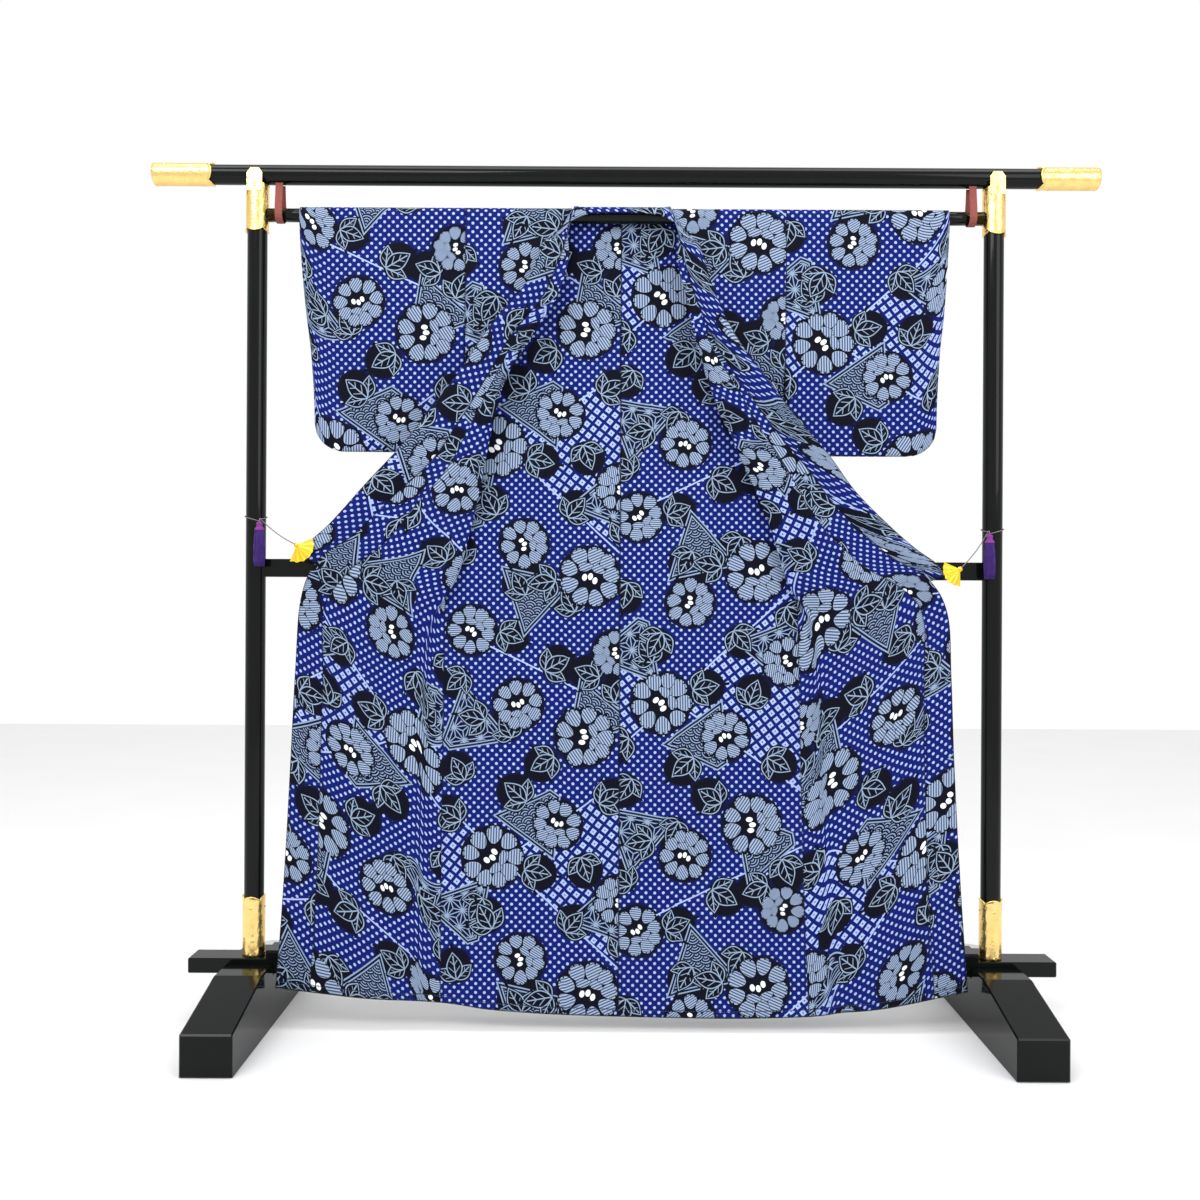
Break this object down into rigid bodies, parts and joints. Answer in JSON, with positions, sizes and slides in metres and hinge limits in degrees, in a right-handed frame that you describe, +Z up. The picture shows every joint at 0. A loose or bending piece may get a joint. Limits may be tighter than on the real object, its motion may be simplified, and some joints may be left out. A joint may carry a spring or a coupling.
{
  "type": "cotton yukata robe on a kimono stand",
  "caption": "Cotton yukata hung open over the bar of a free-standing lacquered kimono stand, its fronts turned out and held by fan clips on tasselled cords.",
  "frame": {"origin": "on the floor under the middle of the stand", "axes": "+X along the bars to the viewer's right, +Y away from the viewer, +Z up"},
  "size_m": [1.9, 0.528, 1.7252],
  "materials": {
    "yukata_cotton": "matt printed cotton, cobalt blue and navy with pale blue motifs",
    "black_lacquer": "glossy black lacquer",
    "gold_fitting": "hammered yellow metal, softly glossy",
    "red_strap": "matt reddish brown",
    "purple_cord": "thin twisted cord, greyish purple",
    "purple_tassel": "silky purple yarn"
  },
  "bodies": {
    "root": {"body_left": "yukata_cotton", "body_right": "yukata_cotton", "sleeve_left": "yukata_cotton", "sleeve_right": "yukata_cotton", "overlap_left": "yukata_cotton", "overlap_right": "yukata_cotton", "collar": "yukata_cotton", "hanging_bar": "black_lacquer", "top_bar": "black_lacquer", "post_left": "black_lacquer", "post_right": "black_lacquer", "mid_rail": "black_lacquer", "base_board": "black_lacquer", "foot_left": "black_lacquer", "foot_right": "black_lacquer", "end_cap_left": "gold_fitting", "end_cap_right": "gold_fitting", "post_head_left": "gold_fitting", "post_head_right": "gold_fitting", "post_foot_left": "gold_fitting", "post_foot_right": "gold_fitting", "clip_left": "gold_fitting", "clip_right": "gold_fitting", "strap_left": "red_strap", "strap_right": "red_strap", "cord_left": "purple_cord", "cord_right": "purple_cord", "tassel_left": "purple_tassel", "tassel_right": "purple_tassel"}
  },
  "joints": []
}
